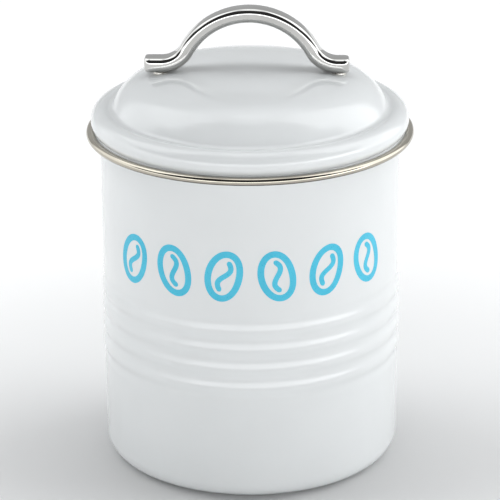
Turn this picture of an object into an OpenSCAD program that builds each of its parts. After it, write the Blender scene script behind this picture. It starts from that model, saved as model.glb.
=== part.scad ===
// Round kitchen storage tin for coffee: a ribbed steel tin and a domed lid
// with a metal trim ring, a plug collar with a seal, and a bent bar handle.
// The origin is the centre of the foot, on the surface the tin stands on.

/* [Tin] */
// Outer radius of the plain wall of the tin
body_r = 54; // [53.9:0.05:54.1]
// Thickness of the coated steel sheet of the tin and the lid
sheet_t = 0.7; // [0.5:0.1:0.8]
// Height of the centre of the rolled rim
rim_z = 122.2; // [120:0.2:122.2]
// Radius of the rolled rim, seen in section
rim_bead_r = 0.9; // [0.8:0.05:0.9]
// Radius of the rounded bottom corner
foot_corner_r = 6.8; // [5:0.1:8]
// Inner radius of the turned-in foot
foot_inner_r = 44.5; // [42:0.1:45]

/* [Ribs] */
// Number of swaged ribs round the wall
rib_count = 4; // [1:1:6]
// Height of the centre of the lowest rib
rib_low_z = 43.3; // [20:0.1:50]
// Distance from one rib to the next
rib_pitch = 7.3; // [6:0.1:9]
// How far the ribs stand out from the valleys between them
rib_depth = 0.65; // [0.3:0.05:0.8]
// How far the valleys lie inside the plain wall
rib_sink = 0.15; // [0:0.05:0.2]

/* [Base plate] */
// Radius of the flange that lies on the turned-in foot
base_flange_r = 46.6; // [46:0.1:47]
// Height of the pressed-up panel above the flange
base_rise = 2.3; // [1.5:0.1:3]
// Radius of the round step pressed into the panel
base_step_r = 31; // [20:0.5:36]

/* [Lid] */
// Height of the top of the dome
dome_top_z = 146.1; // [145.9:0.1:146.3]
// Radius of curvature of the crown of the dome
crown_r = 207; // [200:1:215]
// Section radius of the dome's rounded edge
dome_edge_r = 17.8; // [17:0.1:18.5]
// Distance of the dome edge's centre of curvature from the axis
dome_edge_x = 32.8; // [32.6:0.1:33]
// Section radius of the rolled shoulder below the dome
shoulder_r = 4.7; // [4.6:0.05:4.8]
// Distance of the shoulder's centre from the axis
shoulder_x = 52.5; // [52.4:0.05:52.6]
// Height of the shoulder's centre
shoulder_z = 127.1; // [127:0.05:127.3]
// Section radius of the groove between dome and shoulder
groove_r = 2.2; // [1:0.1:3]

/* [Trim ring] */
// Outer radius of the trim ring
ring_r = 59; // [58.8:0.1:59.4]
// Height of the trim ring
ring_h = 2.7; // [2.5:0.1:2.8]
// Width of the trim ring, from inside to outside
ring_w = 3.1; // [3:0.05:3.2]
// Height of the underside of the trim ring
ring_z = 121; // [120.9:0.05:121.1]

/* [Plug collar and seal] */
// Outer radius of the collar's skirt
skirt_r = 52; // [51.8:0.1:52.1]
// Wall thickness of the skirt
skirt_t = 1.4; // [1.2:0.1:2]
// Height of the bottom edge of the skirt
skirt_z = 115; // [113:0.5:116]
// Outer radius of the seal's two lips
lip_r = 53.05; // [52.9:0.05:53.1]

/* [Handle] */
// Width of the bar, across the handle
bar_w = 8.4; // [7:0.1:9]
// Thickness of the bar
bar_t = 5.3; // [5:0.1:5.4]
// Radius of the bar's rounded edges
bar_edge_r = 2; // [1.2:0.1:2.2]
// Height of the top of the arch
arch_top_z = 168; // [167:0.1:170]
// Radius of the arch along the middle of the bar
arch_r = 25.6; // [25:0.1:26.2]
// Radius of the bend above each foot, along the middle of the bar
bend_r = 10.5; // [10:0.1:11]
// Height of the underside of the feet
foot_z = 144.2; // [144.1:0.05:144.6]
// Distance of the left foot's end from the middle
left_end_x = 37.6; // [36.5:0.1:38]
// Distance of the right foot's end from the middle
right_end_x = 35.6; // [35:0.1:38]
// Radius of the feet's rounded corners, seen from above
end_corner_r = 2.4; // [1:0.1:3]
// Radius of the upper and lower edges of the feet's ends
end_edge_r = 0.9; // [0.5:0.1:1]

/* [Handle fixings] */
// Distance of each screw from the middle of the lid
screw_x = 31.6; // [31:0.1:32.4]
// Radius of the screw's shank
shank_r = 2; // [1.5:0.1:2]
// Radius of the screw's head
head_r = 4; // [3.5:0.1:4.2]
// Thickness of the screw's head
head_t = 2.6; // [2.2:0.1:3]
// Radius of the spacer between foot and dome
spacer_r = 3; // [2.8:0.1:3.6]
// Radius of the tapered washer under the screw's head
washer_r = 4.8; // [4.4:0.1:5]
// Depth of the tapped hole in the foot
tap_depth = 3.8; // [3:0.1:4]

/* [Hidden] */

$fn = 96;
enamel = "whitesmoke";
steel = "silver";

// Tin
wall_inner_r = body_r - sheet_t;
corner_x = body_r - foot_corner_r;
rib_zone_z = rib_low_z - rib_pitch / 2;
rib_zone_h = rib_count * rib_pitch;
rib_steps = 12;
blend_h = 3;
blend_steps = 4;
rim_bead_x = wall_inner_r + rim_bead_r;

// Dome: the crown's arc runs into the edge's arc without a kink
crown_z = dome_top_z - crown_r;
edge_z = crown_z + sqrt(pow(crown_r - dome_edge_r, 2) - pow(dome_edge_x, 2));
crown_c = [0, crown_z];
edge_c = [dome_edge_x, edge_z];
shoulder_c = [shoulder_x, shoulder_z];
crown_join_a = direction(crown_c, edge_c);
// Groove: an arc that touches the dome's edge and the shoulder from outside
groove_c = outer_tangent_centre(edge_c, dome_edge_r + groove_r, shoulder_c, shoulder_r + groove_r);
edge_groove_a = direction(edge_c, groove_c);
shoulder_groove_a = direction(shoulder_c, groove_c);
tuck_a = -46;

// The lid's edge, turned down into the trim ring
hem_outer_r = 56.1;
hem_inner_r = hem_outer_r - sheet_t;
crimp_lip_t = 0.5;
hem_bottom_z = ring_z + crimp_lip_t;
hem_outer_top_z = 123.4;
hem_inner_top_z = 123.1;

// Collar and seal
collar_web_z = 124;
collar_web_t = 1;
collar_rim_r = 55.2;
collar_chamfer = 0.3;
skirt_bead_r = 52.5;
skirt_bead_h = 1.3;
skirt_inner_r = skirt_r - skirt_t;
seal_sleeve_t = 0.6;
seal_flange_r = 54.8;
seal_flange_t = 0.6;
seal_lip_t = 0.8;
seal_lips_z = [118, 120.4];

// Handle, drawn in the x-z plane along the middle of the bar
bar_z = foot_z + bar_t / 2;
arch_c = [0, arch_top_z - bar_t / 2 - arch_r];
bend_z = bar_z + bend_r;
bend_x = sqrt(pow(arch_r + bend_r, 2) - pow(bend_z - arch_c[1], 2));
arch_end_a = direction(arch_c, [bend_x, bend_z]);
arch_steps = 12;
bend_steps = 9;
end_steps = 5;
corner_steps = 3;

// Fixings
hole_clearance = 0.1;
washer_lip_t = 0.6;
cross_w = 1.1;
cross_l = 4.4;
cross_depth = 1.5;
dome_inner_r = crown_r - sheet_t;
washer_z = crown_z + sqrt(pow(dome_inner_r, 2) - pow(screw_x + washer_r, 2)) - washer_lip_t;
head_z = washer_z - head_t;
// The washer's flat upper face stays this far below the curved sheet at its middle
washer_gap = 0.08;
// Cutters run this far past the face they cut
overcut = 1;
// Long enough to pass through any piece near the dome
reach = 20;

function direction(from, to) = atan2(to[1] - from[1], to[0] - from[0]);

// Points along an arc, in even steps from angle a0 to angle a1
function arc(c, r, a0, a1, steps) =
    [for (i = [0:steps]) c + r * [cos(a0 + (a1 - a0) * i / steps), sin(a0 + (a1 - a0) * i / steps)]];

// The upper one of the two points at distance r1 from c1 and r2 from c2
function outer_tangent_centre(c1, r1, c2, r2) =
    let (
        d = norm(c2 - c1),
        along = (r1 * r1 - r2 * r2 + d * d) / (2 * d),
        across = sqrt(r1 * r1 - along * along),
        u = (c2 - c1) / d
    )
    c1 + along * u + across * [-u[1], u[0]];

function backwards(points) = [for (i = [len(points) - 1:-1:0]) points[i]];

// From the plain wall of radius r in to the level of the valleys, as steps from the outside in
function rib_blend(r) =
    [for (i = [0:blend_steps - 1])
        [r - rib_sink * (1 - cos(180 * i / blend_steps)) / 2, blend_h * (1 - i / blend_steps)]];

// One side of the ribbed stretch of a wall of radius r, as a wave with a blend at each end
function ribs(r) = concat(
    [for (p = rib_blend(r)) [p[0], rib_zone_z - p[1]]],
    [for (i = [0:rib_count * rib_steps])
        [
            r - rib_sink + rib_depth * (1 - cos(360 * i / rib_steps)) / 2,
            rib_zone_z + rib_pitch * i / rib_steps
        ]],
    [for (p = backwards(rib_blend(r))) [p[0], rib_zone_z + rib_zone_h + p[1]]]
);

// One side of the tin's sheet; in is how far that side lies inside the outer side
function wall_side(in) = concat(
    [[foot_inner_r, in]],
    arc([corner_x, foot_corner_r], foot_corner_r - in, -90, 0, 16),
    ribs(body_r - in),
    [[body_r - in, rim_z]]
);

// One side of the lid's sheet, from the top of the dome to the tuck under the shoulder
function lid_side(in) = concat(
    arc(crown_c, crown_r - in, 90, crown_join_a, 10),
    arc(edge_c, dome_edge_r - in, crown_join_a, edge_groove_a, 18),
    arc(groove_c, groove_r + in, edge_groove_a + 180, shoulder_groove_a + 180, 8),
    arc(shoulder_c, shoulder_r - in, shoulder_groove_a, tuck_a, 24)
);

// Outline of the bar's section: x is across its thickness, y across its width
function bar_section() =
    [for (corner = [0:3], i = [0:corner_steps])
        let (
            a = 90 * (corner + i / corner_steps),
            x = corner == 0 || corner == 3 ? 1 : -1,
            y = corner < 2 ? 1 : -1
        )
        [
            x * (bar_t / 2 - bar_edge_r) + bar_edge_r * cos(a),
            y * (bar_w / 2 - bar_edge_r) + bar_edge_r * sin(a)
        ]];

// How much of half the size is left at distance d before the end, when the end is rounded with radius r
function rounded_share(half, r, d) =
    let (past = max(0, r - d))
    1 - (r - sqrt(r * r - past * past)) / half;

// Stations of half of the bar, from the top of the arch to the end of a foot at end_x.
// Each is [x, z, direction that the bar's upper side faces, share of thickness, share of width].
function half_bar(end_x) = concat(
    [for (i = [0:arch_steps])
        let (a = 90 + (arch_end_a - 90) * i / arch_steps)
        [arch_r * cos(a), arch_c[1] + arch_r * sin(a), a, 1, 1]],
    [for (i = [1:bend_steps])
        let (a = arch_end_a + (90 - arch_end_a) * i / bend_steps)
        [bend_x - bend_r * cos(a), bend_z - bend_r * sin(a), a, 1, 1]],
    [for (i = [0:end_steps])
        let (d = end_corner_r * (1 - sin(90 * i / end_steps)))
        [
            end_x - d,
            bar_z,
            90,
            rounded_share(bar_t / 2, end_edge_r, d),
            rounded_share(bar_w / 2, end_corner_r, d)
        ]]
);

// Stations of the whole bar, from the left end to the right end
function bar_stations() =
    let (
        left = [for (s = half_bar(left_end_x)) [-s[0], s[1], 180 - s[2], s[3], s[4]]],
        right = half_bar(right_end_x)
    )
    concat(backwards(left), [for (i = [1:len(right) - 1]) right[i]]);

module turned(points) {
    rotate_extrude() polygon(points);
}

module body_shell() {
    color(enamel) rotate_extrude() {
        polygon(concat(wall_side(0), backwards(wall_side(sheet_t))));
        translate([rim_bead_x, rim_z]) circle(rim_bead_r);
    }
}

module base_plate() {
    flange_z = sheet_t;
    panel_z = flange_z + base_rise;
    step_w = 1.2;
    underside = [
        [base_flange_r, flange_z],
        [foot_inner_r, flange_z],
        [foot_inner_r - base_rise / 2, panel_z],
        [base_step_r + step_w, panel_z],
        [base_step_r, panel_z + step_w / 2],
        [0, panel_z + step_w / 2],
    ];
    topside = [for (p = underside) p + [0, sheet_t]];
    color(enamel) turned(concat(underside, backwards(topside)));
}

module lid_shell() {
    hem = [
        [hem_outer_r, hem_outer_top_z],
        [hem_outer_r, hem_bottom_z],
        [hem_inner_r, hem_bottom_z],
        [hem_inner_r, hem_inner_top_z],
    ];
    color(enamel) difference() {
        turned(concat(lid_side(0), hem, backwards(lid_side(sheet_t))));
        for (side = [-1, 1])
            translate([side * screw_x, 0, washer_z]) cylinder(r = shank_r + hole_clearance, h = reach);
    }
}

module lid_trim_ring() {
    nose_r = ring_h / 2;
    inner_nose_x = ring_r - ring_w + nose_r;
    color(steel) rotate_extrude() difference() {
        union() {
            translate([ring_r - nose_r, ring_z + nose_r]) circle(nose_r);
            translate([inner_nose_x, ring_z + nose_r]) circle(nose_r);
            translate([inner_nose_x, ring_z]) square([ring_w - ring_h, ring_h]);
            translate([hem_inner_r, ring_z]) square([inner_nose_x - hem_inner_r, crimp_lip_t]);
        }
        translate([hem_inner_r, hem_bottom_z]) square([sheet_t, ring_h]);
    }
}

module seal_collar() {
    color("white") turned([
        [skirt_inner_r, skirt_z],
        [skirt_bead_r, skirt_z],
        [skirt_bead_r, skirt_z + skirt_bead_h],
        [skirt_r, skirt_z + skirt_bead_h],
        [skirt_r, collar_web_z],
        [collar_rim_r - collar_chamfer, collar_web_z],
        [collar_rim_r, collar_web_z + collar_chamfer],
        [collar_rim_r, collar_web_z + collar_web_t],
        [skirt_inner_r, collar_web_z + collar_web_t],
    ]);
}

module seal_ring() {
    sleeve_z = skirt_z + skirt_bead_h;
    sleeve_r = skirt_r + seal_sleeve_t;
    color("lightgray") rotate_extrude() {
        translate([skirt_r, sleeve_z]) square([seal_sleeve_t, collar_web_z - sleeve_z]);
        translate([skirt_r, collar_web_z - seal_flange_t])
            square([seal_flange_r - skirt_r, seal_flange_t]);
        for (z = seal_lips_z)
            polygon([
                [sleeve_r - seal_sleeve_t / 2, z],
                [lip_r, z + seal_lip_t / 2],
                [lip_r, z + seal_lip_t],
                [sleeve_r - seal_sleeve_t / 2, z + 2 * seal_lip_t],
            ]);
    }
}

// The bar is one loft over a list of stations, so that its edges stay rounded round every bend
module handle() {
    stations = bar_stations();
    section = bar_section();
    ring_size = len(section);
    last = len(stations) - 1;
    points = [for (s = stations, p = section)
        [s[0] + s[3] * p[0] * cos(s[2]), s[4] * p[1], s[1] + s[3] * p[0] * sin(s[2])]];
    sides = [for (i = [0:last - 1], j = [0:ring_size - 1])
        let (k = (j + 1) % ring_size)
        [i * ring_size + j, i * ring_size + k, (i + 1) * ring_size + k, (i + 1) * ring_size + j]];
    left_cap = [for (j = [ring_size - 1:-1:0]) j];
    right_cap = [for (j = [0:ring_size - 1]) last * ring_size + j];
    color(steel) difference() {
        polyhedron(points, concat(sides, [left_cap, right_cap]));
        for (side = [-1, 1])
            translate([side * screw_x, 0, foot_z - overcut])
                cylinder(r = shank_r, h = tap_depth + overcut);
    }
}

// A block whose top is the tangent plane, above x, of the dome's surface of radius r
module under_dome(x, r) {
    slope = asin(x / r);
    translate([x, 0, crown_z + r * cos(slope)]) rotate([0, slope, 0])
        translate([-reach, -reach, -reach]) cube([2 * reach, 2 * reach, reach]);
}

// A spacer whose lower face lies along the dome
module handle_spacer(x) {
    color(steel) difference() {
        translate([x, 0, washer_z]) cylinder(r = spacer_r, h = foot_z - washer_z);
        under_dome(x, crown_r);
        translate([x, 0, washer_z - overcut]) cylinder(r = shank_r + hole_clearance, h = reach);
    }
}

// A tapered washer whose upper face lies along the underside of the dome
module screw_washer(x) {
    color(steel) difference() {
        intersection() {
            translate([x, 0, washer_z]) cylinder(r = washer_r, h = reach);
            under_dome(x, dome_inner_r - washer_gap);
        }
        translate([x, 0, washer_z - overcut]) cylinder(r = shank_r + hole_clearance, h = reach);
    }
}

// A pan-head screw with a cross recess, driven up into the foot
module handle_screw(x) {
    shank_h = foot_z + tap_depth - washer_z;
    color(steel) translate([x, 0, head_z]) difference() {
        union() {
            translate([0, 0, head_t / 2]) cylinder(r = head_r, h = head_t / 2);
            cylinder(r1 = head_r - head_t / 2, r2 = head_r, h = head_t / 2);
            translate([0, 0, head_t]) cylinder(r = shank_r, h = shank_h);
        }
        for (turn = [0, 90])
            rotate([0, 0, turn]) translate([-cross_l / 2, -cross_w / 2, -overcut])
                cube([cross_l, cross_w, cross_depth + overcut]);
    }
}

body_shell();
base_plate();
lid_shell();
lid_trim_ring();
seal_collar();
seal_ring();
handle();
handle_spacer(-screw_x);  // handle_spacer_left
handle_spacer(screw_x);  // handle_spacer_right
handle_screw(-screw_x);  // handle_screw_left
handle_screw(screw_x);  // handle_screw_right
screw_washer(-screw_x);  // screw_washer_left
screw_washer(screw_x);  // screw_washer_right
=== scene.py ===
import math

import bmesh
import bpy
from mathutils import Matrix, Vector


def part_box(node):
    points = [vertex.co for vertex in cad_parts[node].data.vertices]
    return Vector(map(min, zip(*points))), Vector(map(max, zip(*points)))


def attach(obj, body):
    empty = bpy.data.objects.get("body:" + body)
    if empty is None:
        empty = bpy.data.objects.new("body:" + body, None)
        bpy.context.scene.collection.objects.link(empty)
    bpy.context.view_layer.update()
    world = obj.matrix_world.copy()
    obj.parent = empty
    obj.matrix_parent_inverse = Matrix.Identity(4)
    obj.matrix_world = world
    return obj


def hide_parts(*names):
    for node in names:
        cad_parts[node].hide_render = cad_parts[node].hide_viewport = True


# Looks of a round coffee tin: white enamelled steel, a polished trim ring and a chromed bar handle.
# Lengths are in millimetres, and MM turns them into metres where a mesh, light or camera is made.
MM = 0.001

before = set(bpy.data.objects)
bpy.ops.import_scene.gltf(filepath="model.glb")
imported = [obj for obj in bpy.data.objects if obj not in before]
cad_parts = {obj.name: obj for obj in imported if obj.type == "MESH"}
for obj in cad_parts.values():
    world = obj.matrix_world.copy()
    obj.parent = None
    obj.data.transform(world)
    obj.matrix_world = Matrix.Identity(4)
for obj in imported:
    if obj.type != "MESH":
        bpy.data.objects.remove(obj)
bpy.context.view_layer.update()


def node_box(node):
    """Lowest and highest corner of a CAD node, in millimetres."""
    low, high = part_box(node)
    return Vector(low) / MM, Vector(high) / MM


TIN_LOW, TIN_HIGH = node_box("body_shell")
PLATE_LOW, PLATE_HIGH = node_box("base_plate")
LID_LOW, LID_HIGH = node_box("lid_shell")
RING_LOW, RING_HIGH = node_box("lid_trim_ring")
COLLAR_LOW, COLLAR_HIGH = node_box("seal_collar")
SEAL_LOW, SEAL_HIGH = node_box("seal_ring")
BAR_LOW, BAR_HIGH = node_box("handle")
SPACER_LOW, SPACER_HIGH = node_box("handle_spacer_right")
SCREW_LOW, SCREW_HIGH = node_box("handle_screw_right")
WASHER_LOW, WASHER_HIGH = node_box("screw_washer_right")

# Sheet metal
SHEET = 0.7
TURN_STEPS = 288

# Tin
RIM_BEAD_R = 0.9
BODY_R = TIN_HIGH.x + SHEET - 2 * RIM_BEAD_R
FOOT_CORNER_R = 6.8
FOOT_INNER_R = 44.5
PLATE_STEP_H = 2.3
PLATE_PANEL_R = 31.0
PLATE_SLOPE = 1.2
RIB_COUNT = 4
RIB_LOW_Z = 43.3
RIB_PITCH = 7.3
RIB_DEPTH = 0.65
RIB_SINK = 0.15
RIB_BLEND_H = 3.0

# Lid
CROWN_R = 207.0
EDGE_R = 17.8
EDGE_X = 32.8
SHOULDER_R = 4.7
SHOULDER_X = LID_HIGH.x - SHOULDER_R
SHOULDER_Z = 127.1
GROOVE_R = 2.2
TUCK_ANGLE = -46
HEM_OUTER_R = 56.1
HEM_OUTER_TOP_Z = 123.3
HEM_INNER_TOP_Z = 123.1

# Trim ring
RING_GAP = 0.03
RING_T = 3.1
CRIMP_H = 0.5
CRIMP_EDGE = 0.12

# Painted shade along the ring's lower edge, for the shadow beneath the ring: the ring's metal keeps
# the share set first of its brightness up to the first height above that edge, and all of it from the
# second height up
PAINTED_SHADE_SHARE = 0.2
PAINTED_SHADE_LOW_H = 0.45
PAINTED_SHADE_HIGH_H = 0.8

# Plug collar and seal
SKIRT_R = 52.0
SKIRT_T = 1.4
COLLAR_LIP_R = 52.5
COLLAR_WEB_Z = 124.0
COLLAR_WEB_R = 55.0
COLLAR_CHAMFER = 0.3
SEAL_GAP = 0.03
SEAL_T = 0.6
SEAL_LIP_R = 53.05
SEAL_LIP_ZS = (118.0, 120.4)
SEAL_LIP_H = 1.6

# Handle
BAR_T = 5.3
BAR_EDGE_R = 2.0
ARCH_R = 25.6
BEND_R = 10.5
END_CORNER_R = 2.4
END_EDGE_R = 0.9

# Screws and washers
SHANK_R = 2.0
SHANK_GAP = 0.1
HEAD_CROWN_R = 8.0
HEAD_EDGE_H = 1.2
THREAD_TURNS = 9
THREAD_DEPTH = 0.25
RECESS_ARM = 2.2
RECESS_HALF_W = 0.55
RECESS_DEPTH = 1.6

# Printed band: a row of coffee beans, standing a little proud of the enamel
PRINT_COUNT = 6
PRINT_PITCH = 19.8
PRINT_LOW_Z = 76.5
PRINT_HIGH_Z = 95.6
PRINT_HALF_W = 6.9
PRINT_LEAN = 14
PRINT_STROKE = 2.4
PRINT_FLAT = 0.07
PRINT_CREASE = 1.9
PRINT_CREASE_GAP = 1.3
PRINT_CREASE_SWING = 1.7
PRINT_PROUD = 0.06
PRINT_SUNK = 0.03

# The view: turned a little to the handle's right, so that its right foot comes forward
VIEW_TURN = 2.0
VIEW_PITCH = 20.893
VIEW_ROLL = -0.333
VIEW_DISTANCE = 1002.8
VIEW_TARGET = Vector((-0.25, 0.0, 75.6))
VIEW_LENS = 197.08

# How much the floor glows far from the tin, and between which distances in metres the glow grows
FLOOR_GLOW = 0.32
GLOW_NEAR = 0.05
GLOW_FAR = 0.22

# The studio: soft panels of light round and above the tin, with a dark gap above the front panel.
# Each is (middle's azimuth, half of its width, lowest and highest elevation, brightness).
# Azimuth 0 is the side that the camera is on, and 90 is the tin's right.
# PANEL_SOFT is half the width of a panel's soft edge, in radians.
ROOM_DARK = 0.045
ROOM_TINT = (0.985, 1.0, 1.01)
PANEL_SOFT = 0.08
ROOM_PANELS = (
    (0, 45, -10, 10, 4.4),
    (-67, 22, -10, 13, 2.4),
    (-112, 23, -10, 35, 1.6),
    (-103, 30, 35, 75, 2.2),
    (67, 22, -10, 13, 4.9),
    (112, 23, -10, 35, 2.4),
    (103, 30, 35, 75, 2.4),
    (180, 45, -10, 25, 0.53),
    (180, 45, 25, 42, 0.6),
    (180, 45, 42, 58, 0.6),
    (180, 45, 58, 84, 1.5),
    (0, 180, 77, 100, 1.5),
)


# ---------------------------------------------------------------- outlines

def direction(start, end):
    """Angle, in degrees, of the line from start to end."""
    return math.degrees(math.atan2(end[1] - start[1], end[0] - start[0]))


def polar(centre, radius, angle):
    a = math.radians(angle)
    return (centre[0] + radius * math.cos(a), centre[1] + radius * math.sin(a))


def arc(centre, radius, first, last, steps):
    """Points along an arc, in even steps from angle first to angle last."""
    return [polar(centre, radius, first + (last - first) * i / steps) for i in range(steps + 1)]


def tangent_centre(c1, r1, c2, r2):
    """The upper one of the two points at distance r1 from c1 and r2 from c2."""
    gap = math.dist(c1, c2)
    along = (r1 * r1 - r2 * r2 + gap * gap) / (2 * gap)
    across = math.sqrt(r1 * r1 - along * along)
    ux, uz = (c2[0] - c1[0]) / gap, (c2[1] - c1[1]) / gap
    return (c1[0] + along * ux - across * uz, c1[1] + along * uz + across * ux)


def rounded(outline, radius, steps=4):
    """A closed outline with every corner turned into an arc of at most that radius."""
    points = []
    for i, corner in enumerate(outline):
        before, after = outline[i - 1], outline[(i + 1) % len(outline)]
        u = Vector(before) - Vector(corner)
        v = Vector(after) - Vector(corner)
        half = u.angle(v) / 2
        cut = min(radius / math.tan(half), 0.45 * u.length, 0.45 * v.length)
        start = Vector(corner) + u.normalized() * cut
        end = Vector(corner) + v.normalized() * cut
        for k in range(steps + 1):
            t = k / steps
            mixed = start * (1 - t) ** 2 + Vector(corner) * 2 * t * (1 - t) + end * t ** 2
            points.append((mixed.x, mixed.y))
    return points


# ---------------------------------------------------------------- meshes

def finished(name, mesh_data, body, node=None, material=None, sharp=38):
    """Turns a bmesh into a smooth-shaded piece that rides on a body."""
    bmesh.ops.recalc_face_normals(mesh_data, faces=mesh_data.faces)
    mesh = bpy.data.meshes.new(name)
    mesh_data.to_mesh(mesh)
    mesh_data.free()
    mesh.shade_smooth()
    mesh.set_sharp_from_angle(angle=math.radians(sharp))
    piece = bpy.data.objects.new(name, mesh)
    bpy.context.scene.collection.objects.link(piece)
    mesh.materials.append(material)
    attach(piece, body)
    if node:
        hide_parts(node)
    return piece


def turned(outline, steps=TURN_STEPS):
    """A bmesh of a closed outline of (radius, height), turned round the tin's axis."""
    data = bmesh.new()
    columns = []
    for i in range(steps):
        a = 2 * math.pi * i / steps
        column = []
        for j, (radius, height) in enumerate(outline):
            if radius < 1e-6:
                vertex = columns[0][j] if columns else data.verts.new((0, 0, height * MM))
            else:
                x, y = radius * math.cos(a), radius * math.sin(a)
                vertex = data.verts.new((x * MM, y * MM, height * MM))
            column.append(vertex)
        columns.append(column)
    for i in range(steps):
        here, there = columns[i], columns[(i + 1) % steps]
        for j in range(len(outline)):
            k = (j + 1) % len(outline)
            corners = []
            for vertex in (here[j], here[k], there[k], there[j]):
                if vertex not in corners:
                    corners.append(vertex)
            if len(corners) > 2:
                data.faces.new(corners)
    return data


def lofted(rings):
    """A bmesh through closed rings of points in millimetres, with a flat cap on each end."""
    data = bmesh.new()
    uv = data.loops.layers.uv.new("along")
    made = [[data.verts.new(Vector(p) * MM) for p in ring] for ring in rings]
    size = len(rings[0])
    travelled = [0.0]
    for a, b in zip(rings, rings[1:]):
        travelled.append(travelled[-1] + (Vector(b[0]) - Vector(a[0])).length * MM)
    for i in range(len(made) - 1):
        for j in range(size):
            k = (j + 1) % size
            face = data.faces.new((made[i][j], made[i][k], made[i + 1][k], made[i + 1][j]))
            at = ((i, j), (i, j + 1), (i + 1, j + 1), (i + 1, j))
            for loop, (row, column) in zip(face.loops, at):
                loop[uv].uv = (travelled[row], column / size)
    data.faces.new(list(reversed(made[0])))
    data.faces.new(made[-1])
    return data


# ---------------------------------------------------------------- tin

def wave(x):
    """From 0 up to 1 and back to 0 as x goes from 0 to 1."""
    return (1 - math.cos(2 * math.pi * x)) / 2


def rib_blend(plain, steps=8):
    """Points from the plain wall down to the ribs' valleys: (radius, distance from the ribs)."""
    shares = [i / steps for i in range(steps)]
    return [(plain - RIB_SINK * wave(share / 2), RIB_BLEND_H * (1 - share)) for share in shares]


def wall_side(inset):
    """One side of the tin's sheet, from the foot up to the rim."""
    corner = (BODY_R - FOOT_CORNER_R, FOOT_CORNER_R)
    plain = BODY_R - inset
    low_z = RIB_LOW_Z - RIB_PITCH / 2
    high_z = low_z + RIB_COUNT * RIB_PITCH
    steps = 24
    ribs = [(radius, low_z - away) for radius, away in rib_blend(plain)]
    for i in range(RIB_COUNT * steps + 1):
        ribs.append((plain - RIB_SINK + RIB_DEPTH * wave(i / steps), low_z + RIB_PITCH * i / steps))
    ribs += [(radius, high_z + away) for radius, away in reversed(rib_blend(plain))]
    return [(FOOT_INNER_R, inset)] + arc(corner, FOOT_CORNER_R - inset, -90, 0, 24) + ribs


def make_tin(enamel):
    bead_c = (BODY_R - SHEET + RIM_BEAD_R, TIN_HIGH.z - RIM_BEAD_R)
    seam = -math.degrees(math.acos((BODY_R - bead_c[0]) / RIM_BEAD_R))
    outline = wall_side(0) + arc(bead_c, RIM_BEAD_R, seam, 180, 28) + wall_side(SHEET)[::-1]
    finished("tin_wall", turned(outline), "tin", "body_shell", enamel)


def make_base_plate(enamel):
    low, panel = PLATE_LOW.z, PLATE_HIGH.z - SHEET
    outer, lip = PLATE_HIGH.x, FOOT_INNER_R
    step = low + PLATE_STEP_H
    underside = [
        (outer, low),
        (lip, low),
        (lip - PLATE_STEP_H / 2, step),
        (PLATE_PANEL_R + PLATE_SLOPE, step),
        (PLATE_PANEL_R, panel),
        (0.0, panel),
    ]
    topside = [(r, z + SHEET) for r, z in reversed(underside)]
    soft = rounded(underside[:-1] + topside[1:], 0.9)
    centre = [(0.0, panel), (0.0, panel + SHEET)]
    below = [i for i, (r, z) in enumerate(soft) if r < PLATE_PANEL_R + 0.5 and z < panel + SHEET / 2]
    last_below = max(below)
    outline = soft[:last_below + 1] + centre + soft[last_below + 1:]
    finished("base_pan", turned(outline), "tin", "base_plate", enamel)


def bean_rings(half_w, half_h, stroke):
    """Outer and inner edge of a bean's outline: an ellipse with one slightly flattened flank."""
    steps = 72
    outer, inner = [], []
    for i in range(steps):
        a = 2 * math.pi * i / steps
        flat = 1 - PRINT_FLAT * max(0.0, math.cos(a)) ** 2
        outer.append((half_w * flat * math.cos(a), half_h * math.sin(a)))
        inner.append(((half_w * flat - stroke) * math.cos(a), (half_h - stroke) * math.sin(a)))
    return outer, inner


def crease_edges(half_h, stroke):
    """Left and right edge of the bean's S-shaped crease, with round ends."""
    reach = half_h - PRINT_STROKE - PRINT_CREASE_GAP
    steps = 40
    cap = stroke / 2
    left, right = [], []
    for i in range(steps + 1):
        t = -1 + 2 * i / steps
        y = reach * t
        x = PRINT_CREASE_SWING * math.sin(math.pi * t)
        slope = PRINT_CREASE_SWING * math.pi * math.cos(math.pi * t) / reach
        length = math.hypot(1, slope)
        end = reach - abs(y)
        width = math.sqrt(max(0.0, cap ** 2 - (cap - end) ** 2)) if end < cap else cap
        nx, ny = width / length, -width * slope / length
        right.append((x + nx, y + ny))
        left.append((x - nx, y - ny))
    return left, right


def on_wall(point, lean, turn, radius):
    """A point of the flat drawing, laid on the tin's wall."""
    a = math.radians(lean)
    across = point[0] * math.cos(a) - point[1] * math.sin(a)
    up = point[0] * math.sin(a) + point[1] * math.cos(a)
    angle = math.radians(turn) + across / BODY_R
    z = (PRINT_LOW_Z + PRINT_HIGH_Z) / 2 + up
    return Vector((radius * math.sin(angle), -radius * math.cos(angle), z)) * MM


def strip_solid(data, side_a, side_b, closed, lay):
    """A thin closed solid between two edge lines: lay(point, radius) places each point."""
    low_r, high_r = BODY_R - PRINT_SUNK, BODY_R + PRINT_PROUD
    rails = [
        [data.verts.new(lay(p, r)) for p in side]
        for side, r in ((side_a, high_r), (side_b, high_r), (side_b, low_r), (side_a, low_r))
    ]
    count = len(side_a)
    last = count if closed else count - 1
    for i in range(last):
        k = (i + 1) % count
        for rail, following in zip(rails, rails[1:] + rails[:1]):
            data.faces.new((rail[i], rail[k], following[k], following[i]))
    if not closed:
        for end in (0, count - 1):
            data.faces.new([rail[end] for rail in rails])


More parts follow.
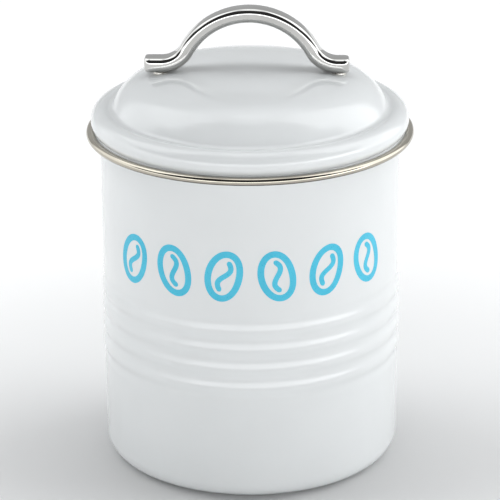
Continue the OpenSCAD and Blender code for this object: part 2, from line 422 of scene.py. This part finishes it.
def make_print(blue):
    half_h = (PRINT_HIGH_Z - PRINT_LOW_Z) / 2
    outer, inner = bean_rings(PRINT_HALF_W, half_h, PRINT_STROKE)
    left, right = crease_edges(half_h, PRINT_CREASE)
    for number in range(PRINT_COUNT):
        turn = VIEW_TURN + PRINT_PITCH * (number - (PRINT_COUNT - 1) / 2)
        lean = PRINT_LEAN if number % 2 else -PRINT_LEAN

        def lay(point, radius):
            return on_wall(point, lean, turn, radius)

        data = bmesh.new()
        strip_solid(data, outer, inner, True, lay)
        strip_solid(data, left, right, False, lay)
        bmesh.ops.remove_doubles(data, verts=data.verts, dist=1e-7)
        finished(f"print_bean_{number + 1}", data, "tin", None, blue)


# ---------------------------------------------------------------- lid

def lid_centres():
    """Centres of the crown, the dome's edge, the groove and the shoulder."""
    crown = (0.0, LID_HIGH.z - CROWN_R)
    edge = (EDGE_X, crown[1] + math.sqrt((CROWN_R - EDGE_R) ** 2 - EDGE_X ** 2))
    shoulder = (SHOULDER_X, SHOULDER_Z)
    groove = tangent_centre(edge, EDGE_R + GROOVE_R, shoulder, SHOULDER_R + GROOVE_R)
    return crown, edge, groove, shoulder


def lid_side(inset):
    """One side of the lid's sheet, from the top of the dome to the tuck under the shoulder."""
    crown, edge, groove, shoulder = lid_centres()
    join = direction(crown, edge)
    dip = direction(edge, groove)
    rise = direction(shoulder, groove)
    side = arc(crown, CROWN_R - inset, 90, join, 40)
    side += arc(edge, EDGE_R - inset, join, dip, 48)[1:]
    side += arc(groove, GROOVE_R + inset, dip + 180, rise + 180, 14)[1:]
    side += arc(shoulder, SHOULDER_R - inset, rise, TUCK_ANGLE, 56)[1:]
    return side


def dome_height(distance, inset=0.0):
    """Height of the crown's surface at that distance from the axis."""
    crown = lid_centres()[0]
    return crown[1] + math.sqrt((CROWN_R - inset) ** 2 - distance ** 2)


def inner_dome_height(distance):
    """Height of the sheet's inner surface in the dome at that distance from the axis."""
    return dome_height(distance, SHEET)


def make_lid(enamel):
    hem = [
        (HEM_OUTER_R, HEM_OUTER_TOP_Z),
        (HEM_OUTER_R, LID_LOW.z),
        (HEM_OUTER_R - SHEET, LID_LOW.z),
        (HEM_OUTER_R - SHEET, HEM_INNER_TOP_Z),
    ]
    outline = lid_side(0) + hem + lid_side(SHEET)[::-1]
    outline[0] = (0.0, outline[0][1])
    outline[-1] = (0.0, outline[-1][1])
    finished("lid_dome", turned(outline), "lid", "lid_shell", enamel)


def make_trim_ring(steel):
    nose = (RING_HIGH.z - RING_LOW.z) / 2
    outer = RING_HIGH.x - RING_GAP
    inner = outer - RING_T
    middle = RING_LOW.z + nose
    outline = arc((outer - nose, middle), nose, -90, 90, 36)
    outline += arc((inner + nose, middle), nose, 90, 180, 18)
    crimp_outer, crimp_inner = HEM_OUTER_R - 0.02, HEM_OUTER_R - SHEET
    crimp = [
        (crimp_outer, middle - 0.4),
        (crimp_outer, RING_LOW.z + CRIMP_H),
        (crimp_inner, RING_LOW.z + CRIMP_H),
        (crimp_inner, RING_LOW.z + CRIMP_EDGE),
        (crimp_inner + CRIMP_EDGE, RING_LOW.z),
    ]
    finished("trim_ring", turned(outline + crimp), "lid", "lid_trim_ring", steel)


def make_collar(plastic):
    low, high = COLLAR_LOW.z, COLLAR_HIGH.z
    bore, flange = SKIRT_R - SKIRT_T, COLLAR_HIGH.x
    outline = rounded([
        (bore, low),
        (COLLAR_LIP_R, low),
        (COLLAR_LIP_R, SEAL_LOW.z),
        (SKIRT_R, SEAL_LOW.z),
        (SKIRT_R, COLLAR_WEB_Z),
        (COLLAR_WEB_R, COLLAR_WEB_Z),
        (flange, COLLAR_WEB_Z + COLLAR_CHAMFER),
        (flange, high),
        (bore, high),
    ], 0.3)
    finished("plug_collar", turned(outline), "lid", "seal_collar", plastic)


def make_seal(silicone):
    bore, tube = SKIRT_R + SEAL_GAP, SKIRT_R + SEAL_T
    low, high, flange = SEAL_LOW.z + SEAL_GAP, SEAL_HIGH.z - SEAL_GAP, SEAL_HIGH.x
    outline = [(bore, low), (tube, low)]
    for lip_z in SEAL_LIP_ZS:
        outline += [
            (tube, lip_z),
            (SEAL_LIP_R, lip_z + SEAL_LIP_H / 4),
            (SEAL_LIP_R, lip_z + SEAL_LIP_H / 2),
            (tube, lip_z + SEAL_LIP_H),
        ]
    outline += [(tube, high - SEAL_T), (flange, high - SEAL_T), (flange, high), (bore, high)]
    finished("silicone_seal", turned(rounded(outline, 0.25)), "seal", "seal_ring", silicone)


# ---------------------------------------------------------------- handle

def bar_section():
    """Outline of the bar's section: x is across its thickness, y across its width."""
    half_t, half_w = BAR_T / 2, BAR_HIGH.y
    section = []
    for quarter, (sx, sy) in enumerate(((1, 1), (-1, 1), (-1, -1), (1, -1))):
        centre = (sx * (half_t - BAR_EDGE_R), sy * (half_w - BAR_EDGE_R))
        section += arc(centre, BAR_EDGE_R, 90 * quarter, 90 * (quarter + 1), 9)
    return section


def rounded_share(half, radius, distance):
    """How much of half the size is left at that distance before an end rounded with that radius."""
    past = max(0.0, radius - distance)
    return 1 - (radius - math.sqrt(radius ** 2 - past ** 2)) / half


def half_bar(end_x):
    """Stations of half of the bar, from the top of the arch to the end of a foot.

    Each is (x, z, upper side's direction, share of thickness, share of width).
    """
    arch_z = BAR_HIGH.z - BAR_T / 2 - ARCH_R
    bar_z = BAR_LOW.z + BAR_T / 2
    bend_z = bar_z + BEND_R
    bend_x = math.sqrt((ARCH_R + BEND_R) ** 2 - (bend_z - arch_z) ** 2)
    turn = direction((0.0, arch_z), (bend_x, bend_z))
    stations = []
    for x, z in arc((0.0, arch_z), ARCH_R, 90, turn, 40):
        stations.append((x, z, direction((0.0, arch_z), (x, z)), 1.0, 1.0))
    for x, z in arc((bend_x, bend_z), BEND_R, 180 + turn, 270, 26)[1:]:
        stations.append((x, z, direction((x, z), (bend_x, bend_z)), 1.0, 1.0))
    end_steps = 14
    for i in range(end_steps + 1):
        distance = END_CORNER_R * (1 - math.sin(math.pi / 2 * i / end_steps))
        thick = rounded_share(BAR_T / 2, END_EDGE_R, distance)
        wide = rounded_share(BAR_HIGH.y, END_CORNER_R, distance)
        stations.append((end_x - distance, bar_z, 90.0, thick, wide))
    return stations


def make_handle(chrome):
    left = [(-x, z, 180 - facing, *shares) for x, z, facing, *shares in half_bar(-BAR_LOW.x)]
    stations = left[::-1] + half_bar(BAR_HIGH.x)[1:]
    rings = []
    for x, z, facing, thick, wide in stations:
        a = math.radians(facing)
        rings.append([
            (x + thick * t * math.cos(a), wide * w, z + thick * t * math.sin(a)) for t, w in bar_section()
        ])
    finished("bar_handle", lofted(rings), "lid", "handle", chrome, sharp=60)


def sleeve(centre_x, inner_r, outer_r, low, high):
    """A bmesh of a ring whose lower and upper faces are at height low(distance) and high(distance)."""
    data = bmesh.new()
    steps = 72
    edge = 0.1
    columns = []
    for i in range(steps):
        a = 2 * math.pi * i / steps
        column = []
        for radius, top, lift in (
            (inner_r, 0, edge), (inner_r + edge, 0, 0), (outer_r - edge, 0, 0), (outer_r, 0, edge),
            (outer_r, 1, -edge), (outer_r - edge, 1, 0), (inner_r + edge, 1, 0), (inner_r, 1, -edge),
        ):
            x, y = centre_x + radius * math.cos(a), radius * math.sin(a)
            z = (high if top else low)(math.hypot(x, y)) + lift
            column.append(data.verts.new(Vector((x, y, z)) * MM))
        columns.append(column)
    for i in range(steps):
        here, there = columns[i], columns[(i + 1) % steps]
        for j in range(len(here)):
            k = (j + 1) % len(here)
            data.faces.new((here[j], here[k], there[k], there[j]))
    return data


def screw_bmesh(centre_x):
    """A pan-head screw, head down; the cross recess in its underside is cut later by cut_away."""
    head_r = (SCREW_HIGH.x - SCREW_LOW.x) / 2
    seat_z, tip_z = WASHER_LOW.z, SCREW_HIGH.z
    crown = arc((0.0, SCREW_LOW.z + HEAD_CROWN_R), HEAD_CROWN_R, -90, -70, 10)
    edge = [crown[-1], (head_r, seat_z - HEAD_EDGE_H), (head_r, seat_z), (SHANK_R, seat_z)]
    head = crown + rounded(edge, 0.5)[8:15]
    thread = []
    for i in range(THREAD_TURNS):
        z = seat_z + 0.3 + (tip_z - seat_z - 0.8) * i / THREAD_TURNS
        thread += [(SHANK_R, z), (SHANK_R - THREAD_DEPTH, z + 0.3)]
    outline = head + [(SHANK_R, seat_z)] + thread + [(SHANK_R - 0.4, tip_z), (0.0, tip_z)]
    outline[0] = (0.0, outline[0][1])
    data = turned(outline, 64)
    bmesh.ops.translate(data, verts=data.verts, vec=Vector((centre_x * MM, 0, 0)))
    return data


def recess_cutter(centre_x):
    """The cross-shaped hollow of the screw's head, as a mesh object for a boolean."""
    data = bmesh.new()
    arm, width = RECESS_ARM, RECESS_HALF_W
    low, high = SCREW_LOW.z - 0.5, SCREW_LOW.z + RECESS_DEPTH
    plan = [
        (arm, width), (width, width), (width, arm), (-width, arm), (-width, width), (-arm, width),
        (-arm, -width), (-width, -width), (-width, -arm), (width, -arm), (width, -width), (arm, -width),
    ]
    rings = []
    for z, share in ((low, 1.0), (high, 0.72)):
        rings.append([data.verts.new(Vector((centre_x + x * share, y * share, z)) * MM) for x, y in plan])
    for i in range(len(plan)):
        k = (i + 1) % len(plan)
        data.faces.new((rings[0][i], rings[0][k], rings[1][k], rings[1][i]))
    data.faces.new(rings[0])
    data.faces.new(rings[1])
    bmesh.ops.recalc_face_normals(data, faces=data.faces)
    mesh = bpy.data.meshes.new("recess")
    data.to_mesh(mesh)
    data.free()
    cutter = bpy.data.objects.new("recess", mesh)
    bpy.context.scene.collection.objects.link(cutter)
    return cutter


def cut_away(piece, cutter):
    """Cuts cutter out of piece for good, and deletes cutter."""
    cut = piece.modifiers.new("cut", "BOOLEAN")
    cut.operation = "DIFFERENCE"
    cut.solver = "EXACT"
    cut.object = cutter
    evaluated = piece.evaluated_get(bpy.context.evaluated_depsgraph_get())
    mesh = bpy.data.meshes.new_from_object(evaluated)
    piece.modifiers.remove(cut)
    piece.data = mesh
    bpy.data.objects.remove(cutter)
    mesh.set_sharp_from_angle(angle=math.radians(38))


def make_fixings(steel):
    screw_x = (SCREW_LOW.x + SCREW_HIGH.x) / 2
    washer_r = (WASHER_HIGH.x - WASHER_LOW.x) / 2
    spacer_r = (SPACER_HIGH.x - SPACER_LOW.x) / 2
    bore_r = SHANK_R + SHANK_GAP
    for side, sign in (("left", -1), ("right", 1)):
        x = sign * screw_x
        spacer = sleeve(x, bore_r, spacer_r, dome_height, lambda distance: BAR_LOW.z)
        finished(f"spacer_{side}", spacer, "lid", f"handle_spacer_{side}", steel)
        washer = sleeve(x, bore_r, washer_r, lambda distance: WASHER_LOW.z, inner_dome_height)
        finished(f"washer_{side}", washer, "lid", f"screw_washer_{side}", steel)
        screw_data = screw_bmesh(x)
        screw = finished(f"screw_{side}", screw_data, "lid", f"handle_screw_{side}", steel)
        cut_away(screw, recess_cutter(x))


# ---------------------------------------------------------------- materials

def new_material(name):
    """A material with a Principled shader; returns it with its node tree and the shader."""
    material = bpy.data.materials.new(name)
    material.use_nodes = True
    tree = material.node_tree
    return material, tree, tree.nodes["Principled BSDF"]


def maths(tree, operation, *values):
    """One step of arithmetic between sockets and numbers."""
    node = tree.nodes.new("ShaderNodeMath")
    node.operation = operation
    for socket, value in zip(node.inputs, values):
        if isinstance(value, (int, float)):
            socket.default_value = value
        else:
            tree.links.new(value, socket)
    return node.outputs["Value"]


def coordinates(tree, stretch=(1, 1, 1), use_uv=False):
    """Object coordinates (or the loft's own), stretched along their axes."""
    source = tree.nodes.new("ShaderNodeTexCoord")
    mapping = tree.nodes.new("ShaderNodeMapping")
    mapping.inputs["Scale"].default_value = stretch
    tree.links.new(source.outputs["UV" if use_uv else "Object"], mapping.inputs["Vector"])
    return mapping.outputs["Vector"]


def noise(tree, vector, wavelength, detail=2.0, roughness=0.5):
    """Noise whose features are about that many millimetres across."""
    node = tree.nodes.new("ShaderNodeTexNoise")
    node.inputs["Scale"].default_value = 1 / (wavelength * MM)
    node.inputs["Detail"].default_value = detail
    node.inputs["Roughness"].default_value = roughness
    tree.links.new(vector, node.inputs["Vector"])
    return node.outputs["Fac"]


def spread(tree, value, low, high, from_low=0.3, from_high=0.7):
    """Maps value from its usual span to low ... high."""
    node = tree.nodes.new("ShaderNodeMapRange")
    node.inputs["From Min"].default_value = from_low
    node.inputs["From Max"].default_value = from_high
    node.inputs["To Min"].default_value = low
    node.inputs["To Max"].default_value = high
    tree.links.new(value, node.inputs["Value"])
    return node.outputs["Result"]


def blended(tree, value, first, second):
    """A colour between first and second, by value."""
    node = tree.nodes.new("ShaderNodeMix")
    node.data_type = "RGBA"
    node.inputs["A"].default_value = (*first, 1)
    node.inputs["B"].default_value = (*second, 1)
    tree.links.new(value, node.inputs["Factor"])
    return node.outputs["Result"]


def dark_below(tree, colour, low, high):
    """Paints shade into a colour below the height high, in millimetres, keeping the painted-shade share
    of it below low.
    """
    split = tree.nodes.new("ShaderNodeSeparateXYZ")
    tree.links.new(coordinates(tree), split.inputs["Vector"])
    node = tree.nodes.new("ShaderNodeVectorMath")
    node.operation = "SCALE"
    tree.links.new(colour, node.inputs[0])
    # Painted shade: the colour keeps less of its brightness the lower it lies.
    kept = spread(tree, split.outputs["Z"], PAINTED_SHADE_SHARE, 1, low * MM, high * MM)
    tree.links.new(kept, node.inputs["Scale"])
    return node.outputs["Vector"]


def bumped(tree, shader, height, depth):
    """Gives shader a bump of that depth, in millimetres."""
    node = tree.nodes.new("ShaderNodeBump")
    node.inputs["Strength"].default_value = 1.0
    node.inputs["Distance"].default_value = depth * MM
    tree.links.new(height, node.inputs["Height"])
    tree.links.new(node.outputs["Normal"], shader.inputs["Normal"])


def enamel_material():
    material, tree, shader = new_material("white_enamel")
    where = coordinates(tree)
    cloud = noise(tree, where, 28.0, 3.0)
    speck = noise(tree, where, 0.6, 1.0)
    peel = noise(tree, where, 2.2, 2.0)
    colour = blended(tree, spread(tree, cloud, 0, 1), (0.665, 0.68, 0.684), (0.685, 0.7, 0.704))
    tree.links.new(colour, shader.inputs["Base Color"])
    tree.links.new(spread(tree, speck, 0.14, 0.18), shader.inputs["Roughness"])
    shader.inputs["Coat Weight"].default_value = 0.3
    shader.inputs["Coat Roughness"].default_value = 0.06
    bumped(tree, shader, peel, 0.0015)
    return material


def print_material():
    material, tree, shader = new_material("print_blue")
    where = coordinates(tree)
    cloud = noise(tree, where, 9.0, 3.0)
    grain = noise(tree, where, 0.5, 2.0)
    colour = blended(tree, spread(tree, cloud, 0, 1), (0.042, 0.44, 0.62), (0.056, 0.48, 0.66))
    tree.links.new(colour, shader.inputs["Base Color"])
    tree.links.new(spread(tree, grain, 0.25, 0.4), shader.inputs["Roughness"])
    bumped(tree, shader, grain, 0.004)
    return material


def polished_material(name, tint, shade, roughness, stretch, use_uv=False, ripple=0.0, seam=None):
    """Polished metal with faint lines along its least stretched axis.

    Its surface also swells by ripple millimetres, over a few millimetres.
    seam gives the two heights that dark_below takes for painted shade along the lower edge.
    """
    material, tree, shader = new_material(name)
    lines = noise(tree, coordinates(tree, stretch, use_uv), 0.5, 3.0)
    cloud = noise(tree, coordinates(tree), 12.0, 3.0)
    swell = noise(tree, coordinates(tree), 5.0, 1.0)
    colour = blended(tree, spread(tree, cloud, 0, 1), shade, tint)
    # Painted shade along the lower edge, for the shadow under the trim ring.
    if seam:
        colour = dark_below(tree, colour, *seam)
    tree.links.new(colour, shader.inputs["Base Color"])
    tree.links.new(spread(tree, lines, *roughness), shader.inputs["Roughness"])
    shader.inputs["Metallic"].default_value = 1.0
    line_depth = 0.0015
    swollen = maths(tree, "MULTIPLY", swell, ripple / line_depth)
    bumped(tree, shader, maths(tree, "ADD", lines, swollen), line_depth)
    return material


def soft_material(name, first, second, roughness, grain_mm, depth):
    """Moulded plastic or rubber with a fine grain."""
    material, tree, shader = new_material(name)
    where = coordinates(tree)
    cloud = noise(tree, where, 15.0, 3.0)
    grain = noise(tree, where, grain_mm, 3.0)
    tree.links.new(blended(tree, spread(tree, cloud, 0, 1), first, second), shader.inputs["Base Color"])
    tree.links.new(spread(tree, grain, roughness - 0.06, roughness + 0.06), shader.inputs["Roughness"])
    bumped(tree, shader, grain, depth)
    return material


# ---------------------------------------------------------------- studio

def make_floor():
    """A plain pale floor, which glows a little beyond the tin's surroundings."""
    data = bmesh.new()
    bmesh.ops.create_grid(data, x_segments=1, y_segments=1, size=6.0)
    mesh = bpy.data.meshes.new("floor")
    data.to_mesh(mesh)
    data.free()
    floor = bpy.data.objects.new("floor", mesh)
    bpy.context.scene.collection.objects.link(floor)
    material, tree, shader = new_material("pale_floor")
    away = tree.nodes.new("ShaderNodeVectorMath")
    away.operation = "LENGTH"
    tree.links.new(coordinates(tree), away.inputs[0])
    glow = spread(tree, away.outputs["Value"], 0.0, FLOOR_GLOW, GLOW_NEAR, GLOW_FAR)
    tree.links.new(glow, shader.inputs["Emission Strength"])
    shader.inputs["Emission Color"].default_value = (1, 1, 1, 1)
    shader.inputs["Base Color"].default_value = (0.7, 0.7, 0.7, 1)
    shader.inputs["Roughness"].default_value = 0.9
    shader.inputs["Specular IOR Level"].default_value = 0.1
    mesh.materials.append(material)


def panel(tree, x, y, elevation, azimuth, half_width, low, high, brightness):
    """Brightness of one soft-edged panel, in the direction with that x, y and elevation."""
    sine, cosine = math.sin(math.radians(azimuth)), math.cos(math.radians(azimuth))
    ahead = maths(tree, "ADD", maths(tree, "MULTIPLY", x, sine), maths(tree, "MULTIPLY", y, -cosine))
    aside = maths(tree, "ADD", maths(tree, "MULTIPLY", x, cosine), maths(tree, "MULTIPLY", y, sine))
    turn = maths(tree, "ABSOLUTE", maths(tree, "ARCTAN2", aside, ahead))
    edge = math.radians(half_width)
    bottom, top = math.radians(low), math.radians(high)
    within = spread(tree, turn, 1, 0, edge - PANEL_SOFT, edge + PANEL_SOFT)
    above = spread(tree, elevation, 0, 1, bottom - PANEL_SOFT, bottom + PANEL_SOFT)
    below = spread(tree, elevation, 1, 0, top - PANEL_SOFT, top + PANEL_SOFT)
    inside = maths(tree, "MULTIPLY", within, maths(tree, "MULTIPLY", above, below))
    return maths(tree, "MULTIPLY", inside, brightness)


def make_world():
    world = bpy.data.worlds.new("studio")
    world.use_nodes = True
    tree = world.node_tree
    where = tree.nodes.new("ShaderNodeTexCoord")
    split = tree.nodes.new("ShaderNodeSeparateXYZ")
    tree.links.new(where.outputs["Generated"], split.inputs["Vector"])
    x, y, z = split.outputs
    elevation = maths(tree, "ARCSINE", z)
    light = ROOM_DARK
    for numbers in ROOM_PANELS:
        light = maths(tree, "ADD", panel(tree, x, y, elevation, *numbers), light)
    background = tree.nodes["Background"]
    background.inputs["Color"].default_value = (*ROOM_TINT, 1)
    tree.links.new(light, background.inputs["Strength"])
    bpy.context.scene.world = world


def make_camera():
    turn, pitch = math.radians(VIEW_TURN), math.radians(VIEW_PITCH)
    back = Vector((math.sin(turn) * math.cos(pitch), -math.cos(turn) * math.cos(pitch), math.sin(pitch)))
    data = bpy.data.cameras.new("camera")
    data.lens = VIEW_LENS
    data.sensor_width = 36.0
    camera = bpy.data.objects.new("camera", data)
    bpy.context.scene.collection.objects.link(camera)
    aim = Matrix.Rotation(turn, 3, "Z") @ VIEW_TARGET
    camera.location = (aim + back * VIEW_DISTANCE) * MM
    roll = Matrix.Rotation(math.radians(VIEW_ROLL), 3, "Z")
    camera.rotation_mode = "QUATERNION"
    camera.rotation_quaternion = ((-back).to_track_quat("-Z", "Y").to_matrix() @ roll).to_quaternion()
    bpy.context.scene.camera = camera


make_camera()
make_world()
make_floor()

enamel = enamel_material()
chrome = polished_material(
    "handle_chrome", (0.57, 0.565, 0.55), (0.49, 0.485, 0.47), (0.03, 0.07), (0.05, 0.02, 1),
    use_uv=True, ripple=0.02,
)
trim_steel = polished_material(
    "trim_steel", (0.5, 0.465, 0.395), (0.43, 0.4, 0.34), (0.04, 0.08), (1, 1, 8),
    # Painted shade on the ring's lower edge, for the shadow beneath it.
    seam=(RING_LOW.z + PAINTED_SHADE_LOW_H, RING_LOW.z + PAINTED_SHADE_HIGH_H),
)
fixing_steel = polished_material(
    "fixing_steel", (0.74, 0.72, 0.66), (0.66, 0.64, 0.6), (0.18, 0.3), (1, 1, 6),
)

make_tin(enamel)
make_base_plate(enamel)
make_print(print_material())
make_lid(enamel)
make_trim_ring(trim_steel)
make_collar(soft_material("collar_plastic", (0.74, 0.74, 0.72), (0.78, 0.78, 0.76), 0.38, 0.8, 0.006))
make_seal(soft_material("silicone", (0.62, 0.66, 0.67), (0.68, 0.71, 0.72), 0.5, 0.5, 0.006))
make_handle(chrome)
make_fixings(fixing_steel)

bpy.context.scene.view_settings.view_transform = "Standard"
